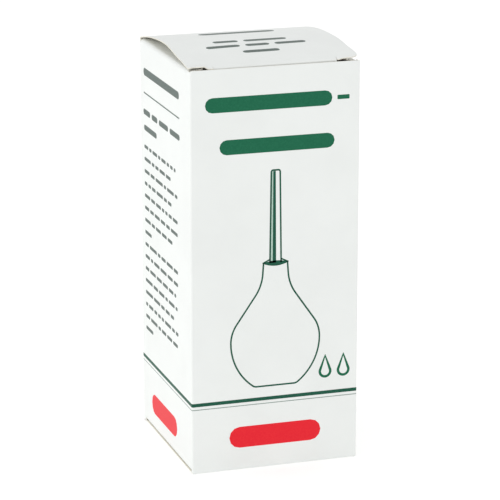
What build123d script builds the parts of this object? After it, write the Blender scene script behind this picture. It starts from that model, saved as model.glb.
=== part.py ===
"""A bulb enema syringe in its folding carton: one rubber bulb, one rigid nozzle and one folded board blank.

Frame: +Z up, the front panel towards -Y, the origin on the floor under the middle of the carton.
The carton is a reverse tuck: its lid is hinged on the back panel and its bottom on the front panel.
"""
from math import acos, asin, atan2, cos, degrees, radians, sin, sqrt, tan
import os

from build123d import *

# Bulb
bulb_diameter = 64.0
bulb_height = 87.7
widest_height = 32.6
bulb_wall = 2.2
base_diameter = 30.0
base_round = 4.5
shoulder_radius = 23.0
throat_drop = 15.8
throat_radius = 30.0
neck_diameter = 17.2
neck_taper = 4.0
neck_bore = 10.4
neck_bore_depth = 15.0
foot_diameter = 17.0
foot_depth = 0.7
lip_round = 0.8

# Nozzle
nozzle_length = 64.3
tip_diameter = 6.3
root_diameter = 8.0
nozzle_bore = 3.0
tip_round = 1.4
collar_overhang = 0.3
collar_edge = 1.0
collar_rise = 3.2
collar_round = 0.3
spigot_length = 13.0
spigot_fit = 0.06
barb_count = 2
barb_pitch = 4.5
barb_depth = 0.6
barb_length = 2.5

# Carton board and the room that it leaves round the syringe
board = 0.5
fold_gap = 0.05
flap_gap = 0.1
seat_gap = 0.3
collar_gap = 0.05
side_room = 3.5
front_room = 4.5
headroom = 16.6

# End closures
lid_rise = 4.3
panel_inset = 0.4
tab_corner_radius = 1.5
slit_length = 9.5
slit_height = 0.9
tuck_depth = 14.0
tuck_corner_radius = 10.0
tuck_lean = 9.0
tuck_inset = 1.6
wall_drop = 0.7
nozzle_way = 16.0
dust_front_inset = 4.0
dust_rear_inset = 1.2
dust_shoulder = 7.0
dust_rear_start = 2.0
dust_front_taper = 12.0
dust_corner_radius = 3.0
lid_dust_tilt = 4.0

# Glued seam
glue_width = 12.0
glue_end_inset = 4.0
glue_bevel = 4.0
seam_step = 0.4

# Sizes that follow from those above
floor_height = board + flap_gap + board
syringe_base = floor_height + seat_gap
mouth_height = syringe_base + bulb_height
width = bulb_diameter + 2 * (side_room + board)
depth = bulb_diameter + 2 * (front_room + board)
height = mouth_height + nozzle_length + headroom
dust_crease = board + flap_gap
dust_reach = (width - nozzle_way) / 2
tuck_line = depth / 2 - board - flap_gap

os.makedirs("parts", exist_ok=True)


def save(piece, name):
    """Label a finished piece and write it to its own file."""
    piece.part.label = name
    export_step(piece.part, f"parts/{name}.step")


def wall_plan(length, fold_at_start, fold_at_end):
    """Draw a wall's plan: the inner face runs along X from 0, and each fold adds half of its round corner."""
    with BuildSketch(mode=Mode.PRIVATE) as plan:
        with Locations((length / 2, board / 2)):
            Rectangle(length, board)
        for corner, fold, side in ((0, fold_at_start, -1), (length, fold_at_end, 1)):
            if fold:
                with BuildLine(mode=Mode.PRIVATE) as half_fold:
                    half = Vector(corner + side * board * sin(radians(45)), board * cos(radians(45)))
                    Line((corner, 0), (corner, board))
                    RadiusArc((corner, board), half, side * board)
                    Line(half, (corner, 0))
                add(make_face(half_fold.line, mode=Mode.PRIVATE))
    return plan.sketch


def cut_fold(view, corner, angle, side, span, gap=0.0):
    """Bevel the piece at a fold, square to the crease.

    view is the plane square to the crease, corner the crease in it and angle the bevel's direction into
    the board. side is 1 to clear the left of that direction and -1 to clear its right. gap is the slack
    that the piece leaves at the crease.
    """
    reach = 6 * board
    with BuildSketch(view) as waste:
        with Locations(Location((corner[0], corner[1], 0), angle)):
            with Locations((0, side * (reach / 2 - gap))):
                Rectangle(2 * reach, reach)
    extrude(waste.sketch, amount=span, both=True, mode=Mode.SUBTRACT)


# Sleeve walls. side_view has (y, z) as its axes and front_view has (x, z).
side_view = Plane(origin=(0, 0, 0), x_dir=(0, 1, 0), z_dir=(1, 0, 0))
front_view = Plane(origin=(0, 0, 0), x_dir=(1, 0, 0), z_dir=(0, -1, 0))
inner_width = width - 2 * board
inner_depth = depth - 2 * board

with BuildPart() as front_panel:
    plan_plane = Plane(origin=(inner_width / 2, -inner_depth / 2, 0), x_dir=(-1, 0, 0), z_dir=(0, 0, 1))
    with BuildSketch(plan_plane):
        add(wall_plan(inner_width, True, True))
    extrude(amount=height - wall_drop)
    cut_fold(side_view, (-depth / 2, 0), 45, -1, width)
save(front_panel, "front_panel")

with BuildPart() as back_panel:
    plan_plane = Plane(origin=(-inner_width / 2, inner_depth / 2, 0), x_dir=(1, 0, 0), z_dir=(0, 0, 1))
    with BuildSketch(plan_plane):
        add(wall_plan(inner_width - board, True, True))
    extrude(amount=height)
    cut_fold(side_view, (depth / 2, height), -135, -1, width)
save(back_panel, "back_panel")

with BuildPart() as left_side_panel:
    plan_origin = (-inner_width / 2, -inner_depth / 2, dust_crease)
    plan_plane = Plane(origin=plan_origin, x_dir=(0, 1, 0), z_dir=(0, 0, 1))
    with BuildSketch(plan_plane):
        add(wall_plan(inner_depth, True, True))
    extrude(amount=height - 2 * dust_crease)
    cut_fold(front_view, (-width / 2, dust_crease), 45, -1, depth)
    cut_fold(front_view, (-width / 2, height - dust_crease), -45, 1, depth)
save(left_side_panel, "left_side_panel")

# The right side panel ends in a raw edge, over the glue flap that the back panel turns in behind it.
with BuildPart() as right_side_panel:
    seam_length = depth - board - seam_step
    seam_y = -inner_depth / 2 + seam_length
    plan_plane = Plane(origin=(inner_width / 2, seam_y, dust_crease), x_dir=(0, -1, 0), z_dir=(0, 0, 1))
    with BuildSketch(plan_plane):
        add(wall_plan(seam_length, False, True))
    extrude(amount=height - 2 * dust_crease)
    cut_fold(front_view, (width / 2, dust_crease), 135, 1, depth)
    cut_fold(front_view, (width / 2, height - dust_crease), -135, -1, depth)
save(right_side_panel, "right_side_panel")

with BuildPart() as glue_flap:
    plan_origin = (inner_width / 2 - board, inner_depth / 2, 0)
    plan_plane = Plane(origin=plan_origin, x_dir=(0, -1, 0), z_dir=(0, 0, 1))
    with BuildSketch(plan_plane):
        add(wall_plan(glue_width, True, False))
    extrude(amount=height)
    with BuildSketch(side_view):
        Polygon(
            (depth / 2, glue_end_inset),
            (depth / 2, height - glue_end_inset),
            (inner_depth / 2 - glue_width, height - glue_end_inset - glue_bevel),
            (inner_depth / 2 - glue_width, glue_end_inset + glue_bevel),
            align=None,
        )
    extrude(amount=width, mode=Mode.INTERSECT)
save(glue_flap, "glue_flap")


def closure(end, rise, dust_tilt, tab_line, names):
    """Make one end's panel, tuck flap and dust flaps, hinged at the end's +Y side.

    end is the plane of the opening with Z outwards, rise the panel's crown, dust_tilt how far the dust
    flaps lie out of that plane, in degrees, and tab_line how far from the centre the corner tabs reach.
    """
    profile = Plane(origin=end.origin, x_dir=end.y_dir, z_dir=end.x_dir)
    across = Plane(origin=end.origin, x_dir=end.x_dir, z_dir=-end.y_dir)
    fold_half = width / 2 - panel_inset - slit_length
    if rise:
        crown = depth**2 / (8 * rise) + rise / 2
        crease_z = rise - crown + sqrt(crown**2 - tuck_line**2)
        slope = degrees(asin(tuck_line / crown))
    else:
        crease_z = 0
        slope = 0
    crease = (-tuck_line, crease_z)
    bevel = (slope + tuck_lean - 90) / 2

    with BuildPart() as panel:
        with BuildSketch(profile) as section:
            if rise:
                with Locations((0, rise - crown)):
                    Circle(crown)
                    Circle(crown - board, mode=Mode.SUBTRACT)
            else:
                with Locations((0, -board / 2)):
                    Rectangle(2 * depth, board)
            with Locations((0, rise / 2)):
                Rectangle(depth, rise + 4 * board, mode=Mode.INTERSECT)
        extrude(section.sketch, amount=width, both=True)
        with BuildSketch(end) as outline:
            with Locations((0, (depth / 2 - tab_line) / 2)):
                Rectangle(width - 2 * panel_inset, depth / 2 + tab_line)
            fillet(outline.vertices().group_by(Axis.Y)[0], tab_corner_radius)
        extrude(outline.sketch, amount=depth, both=True, mode=Mode.INTERSECT)
        cut_fold(profile, (depth / 2, 0), -135, 1, width, fold_gap)
        cut_fold(profile, crease, bevel, -1, fold_half)
    save(panel, names[0])

    lean = radians(tuck_lean)
    tuck_plane = Plane(
        origin=end.from_local_coords(Vector(0, crease[0], crease[1])),
        x_dir=end.x_dir,
        z_dir=-end.y_dir * cos(lean) - end.z_dir * sin(lean),
    )
    with BuildPart() as tuck:
        with BuildSketch(tuck_plane) as outline:
            with Locations((0, -tuck_depth / 2)):
                Rectangle(width - 2 * tuck_inset, tuck_depth)
            fillet(outline.vertices().group_by(Axis.Y)[0], tuck_corner_radius)
            shoulder = width / 2 - fold_half
            with Locations((fold_half + shoulder / 2, 0), (-fold_half - shoulder / 2, 0)):
                Rectangle(shoulder, 2 * slit_height, mode=Mode.SUBTRACT)
        extrude(outline.sketch, amount=-board)
        cut_fold(profile, crease, bevel, 1, width, fold_gap)
    save(tuck, names[1])

    tilt = radians(dust_tilt)
    rear = depth / 2 - dust_rear_inset
    front = depth / 2 - dust_front_inset
    for side, name in ((-1, names[2]), (1, names[3])):
        dust_plane = Plane(
            origin=end.from_local_coords(Vector(side * width / 2, 0, -dust_crease)),
            x_dir=-side * end.x_dir * cos(tilt) + end.z_dir * sin(tilt),
            z_dir=side * end.x_dir * sin(tilt) + end.z_dir * cos(tilt),
        )
        with BuildPart() as dust_flap:
            with BuildSketch(dust_plane) as outline:
                Polygon(
                    (0, side * front),
                    (dust_shoulder, side * front),
                    (dust_reach, side * (front - dust_front_taper)),
                    (dust_reach, -side * (rear + dust_rear_start - dust_reach)),
                    (dust_rear_start, -side * rear),
                    (0, -side * rear),
                    align=None,
                )
                fillet(outline.vertices().group_by(Axis.X)[1:], dust_corner_radius)
            extrude(outline.sketch, amount=-board)
            cut_fold(across, (side * width / 2, -dust_crease), -90 - side * 45, side, depth, fold_gap)
        save(dust_flap, name)


lid_end = Plane(origin=(0, 0, height), x_dir=(1, 0, 0), z_dir=(0, 0, 1))
lid_names = ("lid_panel", "lid_tuck_flap", "top_left_dust_flap", "top_right_dust_flap")
closure(lid_end, lid_rise, lid_dust_tilt, depth / 2 - flap_gap, lid_names)

bottom_end = Plane(origin=(0, 0, 0), x_dir=(1, 0, 0), z_dir=(0, 0, -1))
bottom_names = ("bottom_panel", "bottom_tuck_flap", "bottom_left_dust_flap", "bottom_right_dust_flap")
closure(bottom_end, 0, 0, tuck_line, bottom_names)

# Bulb: one soft moulding, thick at the neck, with a recessed foot. Its outline is a belly arc, a shoulder
# arc, a straight slope that leaves the shoulder on its tangent, a throat arc and a slightly tapered neck.
bulb_radius = bulb_diameter / 2
neck_radius = neck_diameter / 2
bore_radius = neck_bore / 2
foot = (base_diameter / 2, 0)
widest = (bulb_radius, widest_height)
throat = (neck_radius + throat_drop * tan(radians(neck_taper)), bulb_height - throat_drop)
lip = (neck_radius, bulb_height)

shoulder_centre = Vector(bulb_radius - shoulder_radius, widest_height)
to_throat = Vector(*throat) - shoulder_centre
shoulder_sweep = degrees(atan2(to_throat.Y, to_throat.X) - acos(shoulder_radius / to_throat.length))

with BuildSketch() as outline:
    with BuildLine():
        TangentArc(widest, foot, tangent=(0, -1))
        shoulder = CenterArc(shoulder_centre, shoulder_radius, 0, shoulder_sweep)
        FilletPolyline(shoulder @ 1, throat, lip, radius=throat_radius)
        Polyline(lip, (0, bulb_height), (0, 0), foot)
    make_face()
    fillet(outline.vertices().group_by(Axis.Y)[0].sort_by(Axis.X)[-1], base_round)

with BuildSketch() as cavity:
    add(outline.sketch)
    mirror(about=Plane.YZ)
    offset(amount=-bulb_wall)
    Rectangle(bulb_diameter, 2 * bulb_height, align=(Align.MIN, Align.CENTER), mode=Mode.INTERSECT)

with BuildSketch() as hollows:
    add(cavity.sketch)
    with Locations((0, bulb_height)):
        Rectangle(bulb_diameter, 2 * neck_bore_depth, mode=Mode.SUBTRACT)
    with Locations((0, bulb_height), (0, bulb_height - neck_bore_depth)):
        Rectangle(neck_bore, neck_bore_depth)
    Rectangle(foot_diameter, 2 * foot_depth)

with BuildPart() as bulb:
    with BuildSketch(Plane(origin=(0, 0, syringe_base), x_dir=(1, 0, 0), z_dir=(0, -1, 0))):
        add(outline.sketch)
        add(hollows.sketch, mode=Mode.SUBTRACT)
    revolve()
    fillet(bulb.edges().filter_by(GeomType.CIRCLE).group_by(Axis.Z)[-1], lip_round)
save(bulb, "bulb")

# Nozzle: a tapered tube with a conical collar that sits on the bulb's neck and a barbed spigot inside it
spigot_radius = bore_radius - spigot_fit
barb_root = spigot_radius - barb_depth
tube_inside = nozzle_bore / 2
stem = [(tube_inside, -spigot_length), (barb_root, -spigot_length)]
for barb in range(barb_count):
    barb_start = -spigot_length + barb * barb_pitch
    stem.append((spigot_radius, barb_start + barb_length))
    stem.append((barb_root, barb_start + barb_length))
    stem.append((barb_root, barb_start + barb_pitch))
stem.append((spigot_radius, stem[-1][1]))
stem.append((spigot_radius, 0))

with BuildPart() as nozzle:
    collar_seat = Plane(origin=(0, 0, mouth_height + collar_gap), x_dir=(1, 0, 0), z_dir=(0, -1, 0))
    with BuildSketch(collar_seat) as section:
        with BuildLine():
            Polyline(
                *stem,
                (neck_radius + collar_overhang, 0),
                (neck_radius + collar_overhang, collar_edge),
                (root_diameter / 2, collar_rise),
                (tip_diameter / 2, nozzle_length - collar_gap),
                (tube_inside, nozzle_length - collar_gap),
                close=True,
            )
        make_face()
        fillet(section.vertices().group_by(Axis.Y)[-1].sort_by(Axis.X)[-1], tip_round)
    revolve()
    fillet(nozzle.edges().filter_by(GeomType.CIRCLE).group_by(SortBy.RADIUS)[-1], collar_round)
save(nozzle, "nozzle")
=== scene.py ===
"""The looks of a bulb enema syringe in its carton: folded board with print, a rubber bulb and a nozzle."""
from math import acos, asin, atan2, ceil, cos, hypot, pi, radians, sin, sqrt, tan
import random

import bmesh
import bpy
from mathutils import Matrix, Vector


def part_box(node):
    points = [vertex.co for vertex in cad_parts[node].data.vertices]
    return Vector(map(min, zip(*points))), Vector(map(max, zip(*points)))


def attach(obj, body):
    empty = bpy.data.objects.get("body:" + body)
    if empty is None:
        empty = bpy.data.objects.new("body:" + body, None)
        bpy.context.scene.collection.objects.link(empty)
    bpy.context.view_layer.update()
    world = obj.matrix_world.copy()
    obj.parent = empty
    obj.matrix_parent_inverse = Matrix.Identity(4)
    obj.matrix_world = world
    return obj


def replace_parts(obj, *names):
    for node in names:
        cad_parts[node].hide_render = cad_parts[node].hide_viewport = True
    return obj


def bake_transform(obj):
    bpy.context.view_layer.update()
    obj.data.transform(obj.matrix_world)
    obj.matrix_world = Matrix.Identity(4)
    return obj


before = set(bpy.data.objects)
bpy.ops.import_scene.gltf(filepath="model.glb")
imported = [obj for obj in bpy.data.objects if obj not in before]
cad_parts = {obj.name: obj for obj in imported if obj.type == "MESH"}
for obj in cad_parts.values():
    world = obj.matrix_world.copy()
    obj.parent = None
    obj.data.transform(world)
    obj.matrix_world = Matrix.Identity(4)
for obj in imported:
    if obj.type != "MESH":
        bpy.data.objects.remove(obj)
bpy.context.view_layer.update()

mm = 0.001

# Lengths and angles under these count as nothing
weld_distance = 1e-7
cut_tolerance = 1e-8
length_tolerance = 1e-9
angle_tolerance = 1e-6

# The carton's sizes, read from the frame. Its origin is on the floor under the middle of the carton.
half_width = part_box("right_side_panel")[1].x
half_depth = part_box("back_panel")[1].y
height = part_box("back_panel")[1].z
side_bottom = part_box("left_side_panel")[0].z
side_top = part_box("left_side_panel")[1].z
seam_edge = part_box("right_side_panel")[1].y
glue_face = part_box("glue_flap")[1].x
glue_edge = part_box("glue_flap")[0].y
glue_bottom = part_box("glue_flap")[0].z
glue_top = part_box("glue_flap")[1].z
lid_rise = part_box("lid_panel")[1].z - height
lid_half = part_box("lid_panel")[1].x
tab_line = -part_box("lid_panel")[0].y
tuck_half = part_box("lid_tuck_flap")[1].x

# Board. Its coated face lies a little inside the frame's walls, which leaves room for the ink on it.
board = 0.46 * mm
coat_inset = 0.04 * mm
fold_radius = 0.7 * mm
fold_support = 0.3 * mm
fold_step = radians(15)
least_fold = radians(5)
hinge_strip = 1.5 * mm
hinge_relief = 0.1 * mm
hinge_half = glue_face - fold_radius - hinge_relief

# End closures
tuck_line = 36.4 * mm
tuck_depth = 14.0 * mm
tuck_lean = radians(9)
tuck_corner_radius = 10.0 * mm
slit_half = 26.1 * mm
slit_kerf = 0.1 * mm
slit_height = 2.3 * mm
tab_corner_radius = 4.0 * mm
front_drop = 0.1 * mm
front_top = height - front_drop
dust_front = 33.0 * mm
dust_rear = 35.8 * mm
dust_reach = 28.0 * mm
dust_shoulder = 7.0 * mm
dust_fold_radius = 1.8 * mm
dust_strip = 2.5 * mm
dust_front_taper = 12.0 * mm
dust_rear_start = 2.0 * mm
dust_corner_radius = 3.0 * mm
lid_dust_tilt = radians(4)
glue_bevel = 4.0 * mm

# How far from its crease a dust flap is cut across, so that it can bend where its shoulder lifts
dust_cuts = (4 * mm, 6 * mm, 9 * mm, 14 * mm)

# How the closed lid departs from an even arch: the front of its left side is pressed down, its right side
# stands a little fuller, its front edge rides up on the front panel, and the tabs beside the slits gape.
# The dip and the swell grow from the middle of the carton forwards, and the gapes outwards along the tabs.
left_dip = 1.1 * mm
left_dip_at_edge = 0.55
left_dip_run = 18 * mm
right_swell = 0.35 * mm
right_swell_run = 14 * mm
edge_lift = 0.69 * mm
edge_tilt = 0.3 * mm
edge_lift_start = 20 * mm
edge_start = 31 * mm
left_tab_lift = 1.25 * mm
left_gape_start = 28.0 * mm
left_gape_run = 2 * mm
right_tab_lift = 0.5 * mm
right_gape_run = 3 * mm
tab_gape_start = 32 * mm
bow_cells = 1.5 * mm

# The shoulders of the top dust flaps are caught in the lid's slits, which holds them up under the tabs
catch_reach = 35.7 * mm
catch_length = 5.8 * mm
catch_lift = 0.75 * mm
catch_start = 31 * mm
catch_root_round = 0.4 * mm
catch_tip_round = 0.6 * mm
catch_return = 1 * mm

# Bulb and nozzle
syringe_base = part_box("bulb")[0].z
bulb_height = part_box("bulb")[1].z - syringe_base
bulb_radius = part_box("bulb")[1].x
widest_height = 32.6 * mm
bulb_wall = 2.2 * mm
base_radius = 15.0 * mm
base_round = 4.5 * mm
shoulder_radius = 23.0 * mm
throat_drop = 15.8 * mm
throat_round = 30.0 * mm
neck_radius = 8.6 * mm
neck_taper = radians(4)
neck_bore_radius = 5.2 * mm
neck_bore_depth = 15.0 * mm
foot_radius = 8.5 * mm
foot_depth = 0.7 * mm
foot_round = 0.3 * mm
lip_round = 0.8 * mm
bulb_seam_rise = 0.12 * mm
bulb_seam_width = 1.0 * mm
collar_gap = 0.05 * mm
nozzle_seat = syringe_base + bulb_height + collar_gap
nozzle_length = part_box("nozzle")[1].z - nozzle_seat
tip_radius = 3.15 * mm
root_radius = 4.0 * mm
root_round = 0.6 * mm
nozzle_bore_radius = 1.5 * mm
nozzle_edge_round = 0.2 * mm
nozzle_sides = 64
nozzle_seam_rise = 0.05 * mm
nozzle_seam_width = 0.3 * mm
tip_round = 1.4 * mm
collar_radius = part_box("nozzle")[1].x
collar_edge = 1.0 * mm
collar_rise = 3.2 * mm
collar_round = 0.3 * mm
spigot_length = 13.0 * mm
spigot_radius = 5.14 * mm
barb_count = 2
barb_depth = 0.6 * mm
barb_length = 2.5 * mm
barb_pitch = 4.5 * mm
barb_round = 0.1 * mm

# A mould seam in section, as shares of its width and its rise. Its crest, in the middle, has the full rise.
seam_section = ((-0.5, 0.0), (-0.25, 0.7), (0.25, 0.7), (0.5, 0.0))

# Print. A bar's corners are a little under half its height, so that they never meet. The wide gap is in
# millimetres, like the places that the bars are given.
ink_proud = 0.02 * mm
ink_film = 0.04 * mm
corner_share = 0.49
wide_gap = 2.4
mitre_limit = 0.5


def turned(vector, angle):
    """Turn a flat vector anticlockwise."""
    return Vector((
        vector.x * cos(angle) - vector.y * sin(angle),
        vector.x * sin(angle) + vector.y * cos(angle),
    ))


def arc(centre, radius, start, sweep, step=radians(6)):
    """List the points of an arc, both ends included. A negative sweep runs clockwise."""
    count = max(2, ceil(abs(sweep) / step))
    angles = [start + sweep * index / count for index in range(count + 1)]
    return [Vector((centre[0] + radius * cos(angle), centre[1] + radius * sin(angle))) for angle in angles]


def rounded(corners, step=radians(15)):
    """List a closed outline's points, with each corner (x, y, radius) turned on its own radius."""
    outline = []
    for index, (x, y, radius) in enumerate(corners):
        corner = Vector((x, y))
        if not radius:
            outline.append(corner)
            continue
        before = (Vector(corners[index - 1][:2]) - corner).normalized()
        after = (Vector(corners[(index + 1) % len(corners)][:2]) - corner).normalized()
        half_turn = (pi - acos(max(-1, min(1, before.dot(after))))) / 2
        centre = corner + (before + after).normalized() * radius / cos(half_turn)
        spoke = corner + before * radius * tan(half_turn) - centre
        side = 1 if before.x * after.y - before.y * after.x < 0 else -1
        outline += arc(centre, radius, atan2(spoke.y, spoke.x), side * 2 * half_turn, step)
    return outline


class FoldLine:
    """The outside of the board in section, with its left side outwards and every fold softly rounded."""

    def __init__(self, corners, radius=fold_radius):
        corners = [Vector(corner) for corner in corners]
        legs = [(end - start).normalized() for start, end in zip(corners, corners[1:])]
        before = [legs[0], *legs]
        after = [*legs, legs[-1]]
        line = []
        for corner, leg, next_leg in zip(corners, before, after):
            outward = turned(leg, pi / 2) + turned(next_leg, pi / 2)
            line.append(corner - outward * coat_inset / (1 + leg.dot(next_leg)))
        self.stations = []
        self.folds = []
        run = 0
        for index, (corner, leg, next_leg) in enumerate(zip(line, before, after)):
            if index:
                run += (corner - line[index - 1]).length
            turn = acos(max(-1, min(1, leg.dot(next_leg))))
            outward = turned(leg, pi / 2)
            if turn < least_fold:
                self.stations.append((run, corner, (outward + turned(next_leg, pi / 2)).normalized()))
                continue
            self.folds.append(run)
            reach = radius * tan(turn / 2)
            support = reach + fold_support
            centre = corner - leg * reach - outward * radius
            self.stations.append((run - support, corner - leg * support, outward))
            steps = ceil(turn / fold_step)
            for step in range(steps + 1):
                facing = turned(outward, -turn * step / steps)
                along = run - reach + 2 * reach * step / steps
                self.stations.append((along, centre + facing * radius, facing))
            self.stations.append((run + support, corner + next_leg * support, turned(next_leg, pi / 2)))
        self.length = self.stations[-1][0]

    def at(self, run):
        """Return the point and the outward direction at a distance along the line."""
        for (start, point, facing), (end, next_point, next_facing) in zip(self.stations, self.stations[1:]):
            if run <= end:
                break
        share = (run - start) / (end - start)
        return point.lerp(next_point, share), facing.lerp(next_facing, share)

    def run_to(self, axis, value, past=0):
        """Return how far along the line a coordinate has a value, past a given distance."""
        for (start, point, _), (end, next_point, _) in zip(self.stations, self.stations[1:]):
            low, high = sorted((point[axis], next_point[axis]))
            if start >= past and low <= value <= high and high - low > length_tolerance:
                return start + (end - start) * (value - point[axis]) / (next_point[axis] - point[axis])
        raise ValueError(f"the fold line never reaches {value}")


def finish_mesh(name, shape, materials, sharp=radians(35)):
    """Turn a bmesh into a smooth-shaded object with crisp edges and the given materials."""
    bmesh.ops.recalc_face_normals(shape, faces=shape.faces)
    mesh = bpy.data.meshes.new(name)
    shape.to_mesh(mesh)
    shape.free()
    for material in materials:
        mesh.materials.append(material)
    mesh.polygons.foreach_set("use_smooth", [True] * len(mesh.polygons))
    mesh.set_sharp_from_angle(angle=sharp)
    piece = bpy.data.objects.new(name, mesh)
    bpy.context.scene.collection.objects.link(piece)
    return piece


def folded(name, outlines, line, place, materials, proud=0.0, thickness=board, cells=0):
    """Fold flat outlines of (across, run) points along a line and give them a thickness.

    place puts a point across the line and a point of the line into the frame. The materials are those of
    the outside, the inside and the cut edges. A bowed sheet is cut into strips of the width that cells gives.
    """
    flat = bmesh.new()
    for outline in outlines:
        flat.faces.new([flat.verts.new((across, run, 0)) for across, run in outline])
    bmesh.ops.remove_doubles(flat, verts=flat.verts, dist=weld_distance)
    cuts = [((0, run, 0), (0, 1, 0)) for run, _, _ in line.stations]
    if cells:
        count = ceil(half_width / cells)
        cuts += [((cells * index, 0, 0), (1, 0, 0)) for index in range(-count, count + 1)]
    for point, normal in cuts:
        sheet = flat.verts[:] + flat.edges[:] + flat.faces[:]
        bmesh.ops.bisect_plane(flat, geom=sheet, dist=cut_tolerance, plane_co=point, plane_no=normal)

    shape = bmesh.new()
    skins = []
    for depth in (proud, proud - thickness):
        skin = {}
        for vertex in flat.verts:
            point, facing = line.at(vertex.co.y)
            skin[vertex] = shape.verts.new(place(vertex.co.x, point + facing * depth))
        skins.append(skin)
    outside, inside = skins
    last = len(materials) - 1
    for face in flat.faces:
        shape.faces.new([outside[vertex] for vertex in face.verts])
        back = shape.faces.new([inside[vertex] for vertex in reversed(face.verts)])
        back.material_index = min(1, last)
    for edge in flat.edges:
        if len(edge.link_faces) == 1:
            start, end = edge.verts
            wall = shape.faces.new((outside[start], outside[end], inside[end], inside[start]))
            wall.material_index = last
    flat.free()
    return finish_mesh(name, shape, materials)


def lathed(name, profile, base, material, seamed=0, seam_rise=0.0, seam_width=1.0, sides=96):
    """Turn a closed profile of (radius, height) points, with two moulding seams on its first points."""
    widest = max(point[0] for point in profile)
    columns = [(2 * pi * index / sides, 0.0) for index in range(sides)]
    for seam in (0, pi):
        for share, rise in seam_section:
            columns.append((seam + share * seam_width / widest, rise))
    columns = sorted((angle % (2 * pi), rise) for angle, rise in columns)
    crests = [min(angle, abs(angle - pi)) < angle_tolerance for angle, _ in columns]
    columns = [(angle, 1.0 if crest else rise) for (angle, rise), crest in zip(columns, crests)]

    def facing(index):
        along = profile[(index + 1) % len(profile)] - profile[index - 1]
        return Vector((along.y, -along.x)).normalized()

    shape = bmesh.new()
    rings = []
    for index, point in enumerate(profile):
        if point.x < length_tolerance:
            rings.append([shape.verts.new((0, 0, base + point.y))] * len(columns))
            continue
        ring = []
        for angle, rise in columns:
            moved = point + facing(index) * rise * seam_rise if index < seamed else point
            ring.append(shape.verts.new((moved.x * cos(angle), moved.x * sin(angle), base + moved.y)))
        rings.append(ring)
    for index, ring in enumerate(rings):
        following = rings[(index + 1) % len(rings)]
        for side in range(len(columns)):
            after = (side + 1) % len(columns)
            corners = list(dict.fromkeys((ring[side], ring[after], following[after], following[side])))
            if len(corners) > 2:
                shape.faces.new(corners)
    return finish_mesh(name, shape, [material])


def linear(shade):
    """Turn an sRGB hex colour into the linear values that a shader takes."""
    channels = [int(shade[start:start + 2], 16) / 255 for start in (1, 3, 5)]
    return [c / 12.92 if c <= 0.04045 else ((c + 0.055) / 1.055) ** 2.4 for c in channels] + [1.0]


def add_node(tree, kind, values=None, links=None, ramp=None, **settings):
    """Add a node with its settings, input values, incoming links and colour ramp stops."""
    node = tree.nodes.new(kind)
    for key, value in settings.items():
        setattr(node, key, value)
    for key, value in (values or {}).items():
        node.inputs[key].default_value = value
    for key, source in (links or {}).items():
        tree.links.new(source, node.inputs[key])
    for index, (position, shade) in enumerate(ramp or []):
        stops = node.color_ramp.elements
        stop = stops[index] if index < len(stops) else stops.new(position)
        stop.position = position
        stop.color = linear(shade)
    return node


def new_material(name, **finish):
    """Start a material and return it with its node tree, its shader and the object's own coordinates."""
    material = bpy.data.materials.new(name)
    material.use_nodes = True
    tree = material.node_tree
    shader = tree.nodes["Principled BSDF"]
    for key, value in finish.items():
        shader.inputs[key.replace("_", " ")].default_value = value
    place = add_node(tree, "ShaderNodeTexCoord").outputs["Object"]
    return material, tree, shader, place


def coated_board():
    """Clay-coated folding boxboard, calendered: a cool white satin with a faint orange-peel of fibres."""
    fibre = 0.5 * mm
    cockle = 22 * mm
    material, tree, shader, place = new_material("coated_board", Roughness=0.42, IOR=1.5)
    tone = add_node(tree, "ShaderNodeTexNoise", {"Scale": 1 / cockle, "Detail": 3}, {"Vector": place})
    stops = [(0.35, "#E9ECEA"), (0.65, "#ECEFED")]
    colour = add_node(tree, "ShaderNodeValToRGB", links={"Fac": tone.outputs["Fac"]}, ramp=stops)
    tree.links.new(colour.outputs["Color"], shader.inputs["Base Color"])
    grain = add_node(tree, "ShaderNodeTexNoise", {"Scale": 1 / fibre, "Detail": 2}, {"Vector": place})
    links = {"Height": grain.outputs["Fac"]}
    relief = add_node(tree, "ShaderNodeBump", {"Strength": 0.25, "Distance": 0.02 * mm}, links)
    links = {"Height": tone.outputs["Fac"], "Normal": relief.outputs["Normal"]}
    cockling = add_node(tree, "ShaderNodeBump", {"Strength": 0.6, "Distance": 0.3 * mm}, links)
    tree.links.new(cockling.outputs["Normal"], shader.inputs["Normal"])
    return material


def uncoated_board():
    """The uncoated back of the board, machine finished: a dull warm grey-white with darker fibre specks."""
    speck = 0.8 * mm
    material, tree, shader, place = new_material("uncoated_board", Roughness=0.85, IOR=1.5)
    fleck = add_node(tree, "ShaderNodeTexNoise", {"Scale": 1 / speck, "Detail": 4}, {"Vector": place})
    stops = [(0.3, "#CFC9B8"), (0.45, "#DEDACD"), (0.8, "#E6E2D7")]
    colour = add_node(tree, "ShaderNodeValToRGB", links={"Fac": fleck.outputs["Fac"]}, ramp=stops)
    tree.links.new(colour.outputs["Color"], shader.inputs["Base Color"])
    links = {"Height": fleck.outputs["Fac"]}
    relief = add_node(tree, "ShaderNodeBump", {"Strength": 0.5, "Distance": 0.05 * mm}, links)
    tree.links.new(relief.outputs["Normal"], shader.inputs["Normal"])
    return material


def cut_board():
    """The die-cut edge of the board: raw cream plies with a fibrous, light-scattering face."""
    ply = 0.15 * mm
    material, tree, shader, place = new_material("cut_board", Roughness=0.95, IOR=1.5)
    fuzz = add_node(tree, "ShaderNodeTexNoise", {"Scale": 1 / ply, "Detail": 2}, {"Vector": place})
    stops = [(0.3, "#D8D4C8"), (0.7, "#E8E5DC")]
    colour = add_node(tree, "ShaderNodeValToRGB", links={"Fac": fuzz.outputs["Fac"]}, ramp=stops)
    tree.links.new(colour.outputs["Color"], shader.inputs["Base Color"])
    return material


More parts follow.
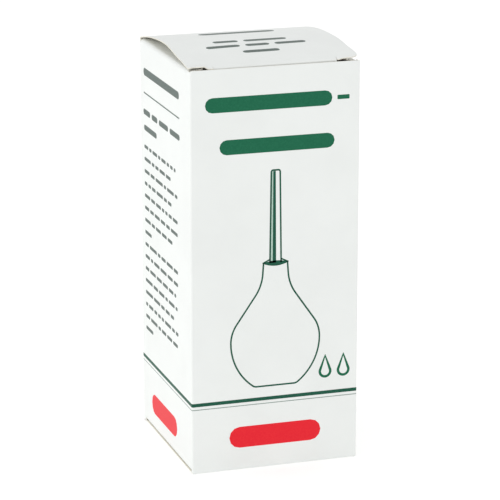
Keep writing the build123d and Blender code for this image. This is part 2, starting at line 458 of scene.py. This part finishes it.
def printing_ink(name, thin, full):
    """Offset ink under a dispersion varnish: an even colour, a shade thinner where fibres lift."""
    mottle = 0.6 * mm
    material, tree, shader, place = new_material(name, Roughness=0.45, IOR=1.5)
    shader.inputs["Specular IOR Level"].default_value = 0.2
    lay = add_node(tree, "ShaderNodeTexNoise", {"Scale": 1 / mottle, "Detail": 3}, {"Vector": place})
    stops = [(0.3, thin), (0.6, full)]
    colour = add_node(tree, "ShaderNodeValToRGB", links={"Fac": lay.outputs["Fac"]}, ramp=stops)
    tree.links.new(colour.outputs["Color"], shader.inputs["Base Color"])
    links = {"Height": lay.outputs["Fac"]}
    relief = add_node(tree, "ShaderNodeBump", {"Strength": 0.2, "Distance": 0.01 * mm}, links)
    tree.links.new(relief.outputs["Normal"], shader.inputs["Normal"])
    return material


def moulded_rubber():
    """Compression-moulded natural rubber, brick red: a soft sheen with a dusty bloom in patches."""
    patch = 14 * mm
    pore = 0.6 * mm
    material, tree, shader, place = new_material("moulded_rubber", Roughness=0.5, IOR=1.52)
    shader.inputs["Sheen Weight"].default_value = 0.15
    shader.inputs["Sheen Roughness"].default_value = 0.4
    bloom = add_node(tree, "ShaderNodeTexNoise", {"Scale": 1 / patch, "Detail": 5}, {"Vector": place})
    stops = [(0.35, "#9C4A35"), (0.55, "#A6553F"), (0.8, "#B5705C")]
    colour = add_node(tree, "ShaderNodeValToRGB", links={"Fac": bloom.outputs["Fac"]}, ramp=stops)
    tree.links.new(colour.outputs["Color"], shader.inputs["Base Color"])
    limits = {"From Min": 0.35, "From Max": 0.75, "To Min": 0.42, "To Max": 0.62}
    dull = add_node(tree, "ShaderNodeMapRange", limits, {"Value": bloom.outputs["Fac"]})
    tree.links.new(dull.outputs["Result"], shader.inputs["Roughness"])
    skin = add_node(tree, "ShaderNodeTexNoise", {"Scale": 1 / pore, "Detail": 2}, {"Vector": place})
    links = {"Height": skin.outputs["Fac"]}
    relief = add_node(tree, "ShaderNodeBump", {"Strength": 0.3, "Distance": 0.03 * mm}, links)
    tree.links.new(relief.outputs["Normal"], shader.inputs["Normal"])
    return material


def moulded_polyethylene():
    """Injection-moulded polyethylene, ivory: waxy and a little translucent, with faint flow marks."""
    flow = 6 * mm
    material, tree, shader, place = new_material("moulded_polyethylene", Roughness=0.32, IOR=1.51)
    shader.inputs["Subsurface Weight"].default_value = 0.2
    shader.inputs["Subsurface Radius"].default_value = (1.2 * mm, 0.9 * mm, 0.6 * mm)
    shader.inputs["Subsurface Scale"].default_value = 1.0
    marks = add_node(tree, "ShaderNodeTexNoise", {"Scale": 1 / flow, "Detail": 3}, {"Vector": place})
    stops = [(0.35, "#E6DDC8"), (0.7, "#EEE7D8")]
    colour = add_node(tree, "ShaderNodeValToRGB", links={"Fac": marks.outputs["Fac"]}, ramp=stops)
    tree.links.new(colour.outputs["Color"], shader.inputs["Base Color"])
    links = {"Height": marks.outputs["Fac"]}
    relief = add_node(tree, "ShaderNodeBump", {"Strength": 0.25, "Distance": 0.05 * mm}, links)
    tree.links.new(relief.outputs["Normal"], shader.inputs["Normal"])
    return material


board_finish = [coated_board(), uncoated_board(), cut_board()]
headline_green = printing_ink("headline_green", "#17694A", "#0C6244")
drawing_green = printing_ink("drawing_green", "#1B5A46", "#10503C")
shading_green = printing_ink("shading_green", "#BCD3C8", "#A9C6B8")
text_green = printing_ink("text_green", "#65736E", "#525F5A")
hairline_green = printing_ink("hairline_green", "#93A19C", "#82928C")
label_red = printing_ink("label_red", "#E9242F", "#E61B2C")


# Sleeve
sleeve_line = FoldLine([
    (half_width, seam_edge),
    (half_width, -half_depth),
    (-half_width, -half_depth),
    (-half_width, half_depth),
    (glue_face, half_depth),
    (glue_face, glue_edge),
])
front_right, front_left, back_left, back_right = sleeve_line.folds
front_middle = (front_right + front_left) / 2
left_middle = sleeve_line.run_to(1, 0, past=front_left)


def on_sleeve(across, point):
    """Put a point of the sleeve's plan at its height."""
    return (point.x, point.y, across)


def right_run(y):
    """Return how far round the sleeve a place on the right side panel is."""
    return sleeve_line.run_to(1, y)


def left_run(y):
    """Return how far round the sleeve a place on the left side panel is."""
    return sleeve_line.run_to(1, y, past=front_left)


def back_run(x):
    """Return how far round the sleeve a place on the back panel is."""
    return sleeve_line.run_to(0, x, past=back_left)


def notch(level, floor, start, end):
    """Step from one level to another and back, between two places round the sleeve."""
    return [(level, start), (floor, start), (floor, end), (level, end)]


def sleeve():
    """Make the four walls and the glue flap as one sheet, cut back where a flap or panel hinges on it."""
    top_edge = [
        (side_top, 0),
        *notch(side_top, side_top - dust_strip, right_run(dust_rear), right_run(-dust_front)),
        (side_top, front_right),
        (front_top, front_right),
        (front_top, front_left),
        (side_top, front_left),
        *notch(side_top, side_top - dust_strip, left_run(-dust_front), left_run(dust_rear)),
        (side_top, back_left),
        (height, back_left),
        *notch(height, height - hinge_strip, back_run(-hinge_half), back_run(hinge_half)),
        (height, back_right),
        (glue_top, back_right),
        (glue_top - glue_bevel, sleeve_line.length),
    ]
    bottom_edge = [
        (side_bottom, 0),
        *notch(side_bottom, side_bottom + dust_strip, right_run(dust_front), right_run(-dust_rear)),
        (side_bottom, front_right),
        (0, front_right),
        *notch(0, hinge_strip, front_middle - hinge_half, front_middle + hinge_half),
        (0, front_left),
        (side_bottom, front_left),
        *notch(side_bottom, side_bottom + dust_strip, left_run(-dust_rear), left_run(dust_front)),
        (side_bottom, back_left),
        (0, back_left),
        (0, back_right),
        (glue_bottom, back_right),
        (glue_bottom + glue_bevel, sleeve_line.length),
    ]
    piece = folded("carton_sleeve", [top_edge + bottom_edge[::-1]], sleeve_line, on_sleeve, board_finish)
    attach(piece, "carton")
    walls = ("front_panel", "back_panel", "left_side_panel", "right_side_panel", "glue_flap")
    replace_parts(piece, *walls)


def closure_lines(level, rise, last):
    """Return the section lines of one end: its panel out to a last point, and its panel with the tuck flap.

    The lines run from the wall that the panel is hinged on, with the free side of the carton forwards.
    """
    wall_start = (-half_depth, level - hinge_strip)
    if rise:
        crown = half_depth**2 / (2 * rise) + rise / 2
        start = -asin(half_depth / crown)
        stop = asin((tuck_line - hinge_strip) / crown)
        steps = 24
        angles = [start + (stop - start) * step / steps for step in range(1, steps + 1)]
        arch = [(crown * sin(angle), level + rise - crown + crown * cos(angle)) for angle in angles]
    else:
        crown = 0
        arch = [(tuck_line - hinge_strip, level)]

    def edge(across):
        return (across, level + rise - crown + sqrt(crown**2 - across**2)) if rise else (across, level)

    wall = [wall_start, (-half_depth, level), *arch]
    crease = edge(tuck_line)
    tuck_end = (crease[0] - tuck_depth * sin(tuck_lean), crease[1] - tuck_depth * cos(tuck_lean))
    return FoldLine([*wall, edge(last)]), FoldLine([*wall, crease, tuck_end])


def closing_panel(name, line, place, node):
    """Make an end's closing panel, with the strip of wall that it folds on."""
    fold = line.folds[0] + fold_radius
    strip_end = line.run_to(0, tuck_line - hinge_strip)
    outline = rounded([
        (-hinge_half, 0, 0),
        (-hinge_half, fold, 0),
        (-lid_half, fold, 0),
        (-lid_half, line.length, tab_corner_radius),
        (-slit_half, line.length, 0),
        (-slit_half, strip_end, 0),
        (slit_half, strip_end, 0),
        (slit_half, line.length, 0),
        (lid_half, line.length, tab_corner_radius),
        (lid_half, fold, 0),
        (hinge_half, fold, 0),
        (hinge_half, 0, 0),
    ])
    piece = folded(name, [outline], line, place, board_finish, cells=bow_cells)
    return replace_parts(piece, node)


def tuck_flap(name, line, place, node):
    """Make an end's tuck flap, with the strip of panel that it folds on."""
    start = line.run_to(0, tuck_line - hinge_strip)
    crease = line.folds[1]
    end = crease + tuck_depth
    inner = slit_half - slit_kerf
    outline = rounded([
        (-inner, start, 0),
        (-inner, crease + slit_height, 0),
        (-tuck_half, crease + slit_height, 0),
        (-tuck_half, end, tuck_corner_radius),
        (tuck_half, end, tuck_corner_radius),
        (tuck_half, crease + slit_height, 0),
        (inner, crease + slit_height, 0),
        (inner, start, 0),
    ])
    piece = folded(name, [outline], line, place, board_finish, cells=bow_cells)
    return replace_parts(piece, node)


def dust_flap(name, side, up, tilt):
    """Make a dust flap, hinged on a side panel at the top (up is 1) or at the bottom (up is -1)."""
    level = side_top if up > 0 else -side_bottom
    spans = (*dust_cuts, dust_reach + fold_radius)
    flap = [(-half_width + span * cos(tilt), level + span * sin(tilt)) for span in spans]
    line = FoldLine([(-half_width, level - dust_strip), (-half_width, level), *flap], dust_fold_radius)
    crease = line.folds[0]
    if up > 0:
        root = crease + dust_fold_radius
        front_edge = [
            (-dust_front, root, 0),
            (-catch_reach, root, catch_root_round),
            (-catch_reach, crease + catch_length, catch_tip_round),
            (catch_return - dust_front, crease + dust_shoulder, catch_return),
        ]
    else:
        front_edge = [(-dust_front, crease + dust_shoulder, dust_corner_radius)]
    outline = rounded([
        (-dust_front, 0, 0),
        *front_edge,
        (-dust_front + dust_front_taper, crease + dust_reach, dust_corner_radius),
        (dust_rear + dust_rear_start - dust_reach, crease + dust_reach, dust_corner_radius),
        (dust_rear, crease + dust_rear_start, dust_corner_radius),
        (dust_rear, 0, 0),
    ])

    def place(across, point):
        caught = min(1.0, (point.x + half_width) / catch_length) if up > 0 else 0
        lift = catch_lift * caught * eased(-across, catch_start, catch_reach)
        return (-side * point.x, up * across, up * point.y + lift)

    piece = folded(f"{name}_board", [outline], line, place, board_finish, cells=bow_cells)
    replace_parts(piece, name)
    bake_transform(piece)


def eased(value, start, end):
    """Rise smoothly from 0 at the start to 1 at the end."""
    share = max(0.0, min(1.0, (value - start) / (end - start)))
    return share * share * (3 - 2 * share)


def lid_bow(across, forward):
    """Return how far a place on the closed lid stands above an even arch."""
    side = across / lid_half
    edge = eased(forward, edge_start, tab_line)
    lift = eased(forward, edge_lift_start, tuck_line - hinge_strip) * (edge_lift + edge_tilt * side)
    if side > 0:
        return lift + right_swell * side * eased(forward, 0, right_swell_run) * (1 - edge)
    dip = side**2 * (1 - edge) + left_dip_at_edge * side**8 * edge
    return lift - left_dip * dip * eased(forward, 0, left_dip_run)


def tab_gape(across, forward):
    """Return how far a tab beside a slit stands up off the fold."""
    curl = eased(forward, tab_gape_start, tab_line)
    if across > 0:
        return curl * right_tab_lift * eased(across, slit_half, slit_half + right_gape_run)
    return curl * left_tab_lift * eased(-across, left_gape_start, left_gape_start + left_gape_run)


def on_lid(across, point):
    """Put a point of the lid's section at its place across the carton."""
    return (across, -point.x, point.y + lid_bow(across, point.x) + tab_gape(across, point.x))


def on_tuck(across, point):
    """Put a point of the lid's tuck flap at its place across the carton."""
    return (across, -point.x, point.y + lid_bow(across, point.x))


def on_bottom(across, point):
    """Put a point of the bottom's section at its place across the carton."""
    return (across, point.x, -point.y)


sleeve()
lid_line, lid_tuck_line = closure_lines(height, lid_rise, tab_line)
bottom_line, bottom_tuck_line = closure_lines(0, 0, tuck_line)

lid = closing_panel("lid_board", lid_line, on_lid, "lid_panel")
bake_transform(lid)

bottom = closing_panel("bottom_board", bottom_line, on_bottom, "bottom_panel")
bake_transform(bottom)

lid_crease = lid_tuck_line.at(lid_tuck_line.folds[1])[0]
lid_tuck = tuck_flap("lid_tuck", lid_tuck_line, on_tuck, "lid_tuck_flap")
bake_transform(lid_tuck)

bottom_tuck = tuck_flap("bottom_tuck", bottom_tuck_line, on_bottom, "bottom_tuck_flap")
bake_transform(bottom_tuck)

for side, word in ((-1, "left"), (1, "right")):
    dust_flap(f"top_{word}_dust_flap", side, 1, lid_dust_tilt)
    dust_flap(f"bottom_{word}_dust_flap", side, -1, 0)


def bulb_curve(inset):
    """List the bulb's side from its base to the top of its neck, moved inwards by a wall."""
    belly_step = radians(3)
    shoulder_step = radians(4)
    belly_radius = (bulb_radius - base_radius) / 2 + widest_height**2 / (2 * (bulb_radius - base_radius))
    belly = Vector((bulb_radius - belly_radius, widest_height))
    shoulder = Vector((bulb_radius - shoulder_radius, widest_height))
    base_x = belly.x + sqrt((belly_radius - base_round) ** 2 - (widest_height - base_round) ** 2)
    base_angle = atan2(base_round - widest_height, base_x - belly.x)
    throat = Vector((neck_radius + throat_drop * tan(neck_taper), bulb_height - throat_drop))
    to_throat = throat - shoulder
    sweep = atan2(to_throat.y, to_throat.x) - acos(shoulder_radius / to_throat.length)
    neck_angle = pi / 2 + neck_taper
    turn = pi / 2 + sweep - neck_angle
    reach = throat_round * tan(turn / 2)
    slope = Vector((-sin(sweep), cos(sweep)))
    hollow = throat - slope * reach + Vector((slope.y, -slope.x)) * throat_round
    neck_side = Vector((-cos(neck_taper), -sin(neck_taper))) * inset
    return [
        *arc((base_x, base_round), base_round - inset, -pi / 2, base_angle + pi / 2),
        *arc(belly, belly_radius - inset, base_angle, -base_angle, belly_step)[1:],
        *arc(shoulder, shoulder_radius - inset, 0, sweep, shoulder_step)[1:],
        *arc(hollow, throat_round + inset, pi + sweep, -turn, shoulder_step),
        Vector((neck_radius, bulb_height)) + neck_side,
    ]


def cavity_curve():
    """List the bulb's inner side, from the axis up to the step under the neck's bore."""
    step_height = bulb_height - neck_bore_depth
    inner = [point for point in bulb_curve(bulb_wall) if point.y < step_height]
    return [Vector((0, bulb_wall)), *inner, Vector((inner[-1].x, step_height))]


def bulb():
    """Make the bulb: one hollow moulding with a recessed foot, a thick neck and two fine mould seams."""
    outside = bulb_curve(0)[:-1]
    seamed = len(outside)
    top = [
        (neck_radius, bulb_height, lip_round),
        (neck_bore_radius, bulb_height, lip_round),
        (neck_bore_radius, bulb_height - neck_bore_depth, 0),
    ]
    foot = [
        (0, foot_depth, 0),
        (foot_radius, foot_depth, foot_round),
        (foot_radius + foot_round, 0, foot_round),
    ]
    corners = [(point.x, point.y, 0) for point in outside] + top
    corners += [(point.x, point.y, 0) for point in reversed(cavity_curve())] + foot
    seam = (seamed, bulb_seam_rise, bulb_seam_width)
    piece = lathed("rubber_bulb", rounded(corners), syringe_base, moulded_rubber(), *seam)
    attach(piece, "bulb")
    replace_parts(piece, "bulb")


def nozzle():
    """Make the nozzle: a tapered tube with a conical collar and a barbed spigot, and a fine mould line."""
    root = spigot_radius - barb_depth
    tube = [
        (root_radius, collar_rise, root_round),
        (tip_radius, nozzle_length, tip_round),
        (nozzle_bore_radius, nozzle_length, nozzle_edge_round),
        (nozzle_bore_radius, -spigot_length, 0),
    ]
    stem = [(root, -spigot_length, nozzle_edge_round)]
    for barb in range(barb_count):
        start = barb * barb_pitch - spigot_length
        stem.append((spigot_radius, start + barb_length, barb_round))
        stem.append((root, start + barb_length, 0))
        stem.append((root, start + barb_pitch, 0))
    stem.append((spigot_radius, stem[-1][1], 0))
    collar = [
        (spigot_radius, 0, 0),
        (collar_radius, 0, collar_round),
        (collar_radius, collar_edge, collar_round),
    ]
    profile = rounded(tube + stem + collar)
    seamed = next(index for index, point in enumerate(profile) if point.x < tip_radius - tip_round)
    seam = (seamed, nozzle_seam_rise, nozzle_seam_width)
    piece = lathed("syringe_nozzle", profile, nozzle_seat, moulded_polyethylene(), *seam, nozzle_sides)
    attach(piece, "nozzle")
    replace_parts(piece, "nozzle")


bulb()
nozzle()


def printed(name, outlines, ink, line=sleeve_line, place=on_sleeve, body="carton"):
    """Lay a film of ink on the board in the shape of flat outlines."""
    cells = bow_cells if line is lid_line else 0
    piece = folded(name, outlines, line, place, [ink], ink_proud, ink_film, cells)
    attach(piece, body)


def front(outlines):
    """Move outlines of (right, up) points, measured from the panel's foot, onto the front panel."""
    return [[(up, front_middle - right) for right, up in outline] for outline in outlines]


def left(outlines):
    """Move outlines of (right, up) points, measured from the panel's foot, onto the left side panel."""
    return [[(up, left_middle - right) for right, up in outline] for outline in outlines]


def lid_face(outlines):
    """Move outlines of (right, away) points, measured from the middle, onto the lid."""
    return [[(right, lid_line.run_to(0, -away)) for right, away in outline] for outline in outlines]


def bar(start, end, low, high, radius=None):
    """Return a bar with rounded ends. Its four sides and the radius of its corners are in millimetres."""
    radius = min(high - low, end - start) * corner_share if radius is None else radius
    corners = [(start, low), (end, low), (end, high), (start, high)]
    return rounded([(x * mm, y * mm, radius * mm) for x, y in corners], radians(30))


def stroke(points, width, closed=False):
    """Return the four-sided outlines that together draw a line of a width along flat points."""
    count = len(points)
    sides = []
    for index, point in enumerate(points):
        before = points[index - 1] if index or closed else None
        after = points[(index + 1) % count] if index < count - 1 or closed else None
        leg = (point - before).normalized() if before is not None else (after - point).normalized()
        next_leg = (after - point).normalized() if after is not None else leg
        across = turned(leg, pi / 2) + turned(next_leg, pi / 2)
        across = across * (width / 2) / max(mitre_limit, 1 + leg.dot(next_leg))
        sides.append((point + across, point - across))
    pairs = list(zip(sides, sides[1:])) + ([(sides[-1], sides[0])] if closed else [])
    return [[start[0], start[1], end[1], end[0]] for start, end in pairs]


def uneven_bars(start, end, low, high, lengths, gap, rng):
    """Fill a row with bars whose lengths lie between a shortest and a longest, a gap apart."""
    shortest, longest = lengths
    bars = []
    place = start
    while place < end - shortest / 2:
        stop = min(place + rng.uniform(shortest, longest), end)
        if end - stop < shortest:
            stop = end
        bars.append(bar(place, stop, low, high))
        place = stop + gap
    return bars


def stripes():
    """Print the double stripe that runs round the carton: a thick line over a hairline."""
    start = 0.2 * mm
    end = back_right - 2 * fold_radius
    for name, low, high, ink in (
        ("stripe_print", 29.2, 30.7, drawing_green),
        ("hairline_print", 27.7, 28.05, hairline_green),
    ):
        outline = [(low * mm, start), (low * mm, end), (high * mm, end), (high * mm, start)]
        printed(name, [outline], ink)


def front_bars():
    """Print two broad bars high on the front panel, the upper one with a short bar after it."""
    upper = bar(-29.8, 24.0, 152.2, 158.4)
    short = bar(26.2, 31.4, 154.4, 156.2, 0.3)
    lower = bar(-23.8, 25.1, 134.6, 140.8)
    printed("headline_print", front([upper, short, lower]), headline_green)


def syringe_drawing():
    """Print the outline of the syringe, drawn from its own shape at six tenths of its size."""
    scale = 0.6
    foot = 35.4 * mm
    line = 0.7 * mm
    collar_line = 0.6 * mm
    collar_margin = 0.4 * mm
    cone_share = 0.8
    front_bow = 11.0 * mm
    front_spread = 0.45
    back_bow = 16.0 * mm
    back_spread = 0.31
    cap_rise = 0.4 * mm
    cap_share = 0.7
    band_foot = (-1.25 * mm, 0.25 * mm)
    band_top = (-1.05 * mm, 0.0)
    tone_gap = 0.2 * mm
    side = [Vector((point.x, foot / scale + point.y)) * scale for point in bulb_curve(0)]
    mirrored = [Vector((-point.x, point.y)) for point in reversed(side)]
    outlines = stroke(mirrored + side, line)
    neck_top = side[-1].y
    collar = (collar_radius + collar_margin) * scale
    outlines.append([
        *arc((0, neck_top + front_bow), hypot(collar, front_bow), -pi / 2 - front_spread, 2 * front_spread),
        *arc((0, neck_top - back_bow), hypot(collar, back_bow), pi / 2 - back_spread, 2 * back_spread),
    ])
    root = root_radius * scale
    tip = tip_radius * scale
    rise = neck_top + collar_rise * scale * cone_share
    end = foot + (bulb_height + nozzle_length) * scale
    for hand in (-1, 1):
        outlines += stroke([Vector((hand * collar, neck_top)), Vector((hand * root, rise))], collar_line)
        outlines += stroke([Vector((hand * root, neck_top)), Vector((hand * tip, end))], line)
    cap = [
        Vector((-tip, end)),
        Vector((-tip * cap_share, end + cap_rise)),
        Vector((tip * cap_share, end + cap_rise)),
        Vector((tip, end)),
    ]
    outlines += stroke(cap, line)
    outlines.append([
        Vector((band_foot[0], neck_top)),
        Vector((band_foot[1], neck_top)),
        Vector((band_top[1], end)),
        Vector((band_top[0], end)),
    ])
    printed("drawing_print", front(outlines), drawing_green)
    tone = [
        Vector((-root + tone_gap, neck_top)),
        Vector((band_foot[0], neck_top)),
        Vector((band_top[0], end)),
        Vector((-tip + tone_gap, end)),
    ]
    printed("drawing_tone_print", front([tone]), shading_green)


def droplets():
    """Print two small droplet outlines in the corner beside the drawing."""
    outlines = []
    line = 1.1 * mm
    radius = 2.3
    round_level = 39.2
    tip_level = 46.0
    tilt = radians(28)
    for middle in (21.8, 29.8):
        round_part = arc((middle, round_level), radius, pi - tilt, pi + 2 * tilt)
        points = [Vector((middle, tip_level)), *round_part]
        outlines += stroke([point * mm for point in points], line, closed=True)
    printed("droplet_print", front(outlines), headline_green)


def labels():
    """Print the plain red bar low on the front panel and on the left side panel."""
    printed("front_label_print", front([bar(-19.9, 19.9, 9.6, 18.7)]), label_red)
    printed("side_label_print", left([bar(-23.0, 15.0, 8.0, 16.7)]), label_red)


def side_bars():
    """Print the left side panel's bars: a long one, a rule, two broad rows and two blocks of fine rows."""
    rng = random.Random(7)
    long_bar = [bar(-31.3, 21.2, 154.9, 158.1)]
    rule = [bar(-31.2, 21.5, 147.05, 147.65, 0.05)]
    broad_rows = uneven_bars(-32.0, 21.8, 138.0, 140.4, (7.0, 17.0), wide_gap, rng)
    broad_rows += uneven_bars(-31.2, -12.1, 131.2, 133.6, (7.0, 19.0), wide_gap, rng)
    printed("side_heading_print", left(long_bar + rule + broad_rows), text_green)
    # The fine rows, with the share of the full width that each row of the two blocks fills
    start = -31.1
    full = 49.1
    first_level = 123.4
    pitch = 5.35
    row_height = 1.5
    fine_gap = 1.5
    blocks = (
        (0.95, 0.80, 1.0, 0.82, 1.0, 1.0, 0.84, 0.20),
        (1.0, 1.0, 0.94, 0.98, 0.87, 1.0, 0.98, 0.22),
    )
    fine_rows = []
    for number, share in enumerate(share for block in blocks for share in block):
        level = first_level - pitch * number
        end = start + full * share
        fine_rows += uneven_bars(start, end, level, level + row_height, (3.0, 11.0), fine_gap, rng)
    printed("side_text_print", left(fine_rows), text_green)


def lid_bars():
    """Print four short rows of plain bars on the lid."""
    rng = random.Random(11)
    rows = [bar(-16.5, 16.5, 13.0, 18.6)]
    rows += uneven_bars(-16.6, 15.0, -6.3, -3.2, (8.0, 14.0), wide_gap, rng)
    rows += uneven_bars(-21.6, 21.0, -13.5, -10.4, (6.0, 15.0), wide_gap, rng)
    rows += [bar(-8.6, 7.0, -22.0, -18.9)]
    printed("lid_print", lid_face(rows), text_green, lid_line, on_lid, "lid")


stripes()
front_bars()
syringe_drawing()
droplets()
labels()
side_bars()
lid_bars()


def studio():
    """Set up the pale floor, the soft studio light and the camera at the photograph's angle."""
    floor_squares = 8
    floor_half = 12
    scene = bpy.context.scene
    shape = bmesh.new()
    bmesh.ops.create_grid(shape, x_segments=floor_squares, y_segments=floor_squares, size=floor_half)
    floor_material, _, shader, _ = new_material("studio_floor", Roughness=0.9)
    shader.inputs["Base Color"].default_value = linear("#F4F4F3")
    shader.inputs["Specular IOR Level"].default_value = 0.1
    shader.inputs["Emission Color"].default_value = (1, 1, 1, 1)
    shader.inputs["Emission Strength"].default_value = 0.25
    floor = finish_mesh("studio_floor", shape, [floor_material])

    world = bpy.data.worlds.new("studio")
    world.use_nodes = True
    world.node_tree.nodes["Background"].inputs["Color"].default_value = (1.0, 1.0, 1.0, 1.0)
    world.node_tree.nodes["Background"].inputs["Strength"].default_value = 0.88
    scene.world = world

    lamp = bpy.data.lights.new("left_softbox", "SUN")
    lamp.energy = 0.55
    lamp.angle = radians(50)
    light = bpy.data.objects.new("left_softbox", lamp)
    to_lamp = Vector((-1.0, -0.05, 0.35))
    light.rotation_euler = to_lamp.to_track_quat("Z", "Y").to_euler()
    scene.collection.objects.link(light)

    camera_data = bpy.data.cameras.new("camera")
    camera_data.sensor_width = 36
    camera_data.lens = 192.36
    camera = bpy.data.objects.new("camera", camera_data)
    azimuth = radians(-17.91)
    elevation = radians(15.72)
    distance = 1125.5 * mm
    aim_right = 0.94
    aim_height = 83.44
    target = Vector((aim_right * cos(azimuth), aim_right * sin(azimuth), aim_height)) * mm
    away = Vector((sin(azimuth) * cos(elevation), -cos(azimuth) * cos(elevation), sin(elevation)))
    camera.location = target + away * distance
    camera.rotation_euler = away.to_track_quat("Z", "Y").to_euler()
    scene.collection.objects.link(camera)
    scene.camera = camera
    scene.view_settings.view_transform = "Standard"


studio()
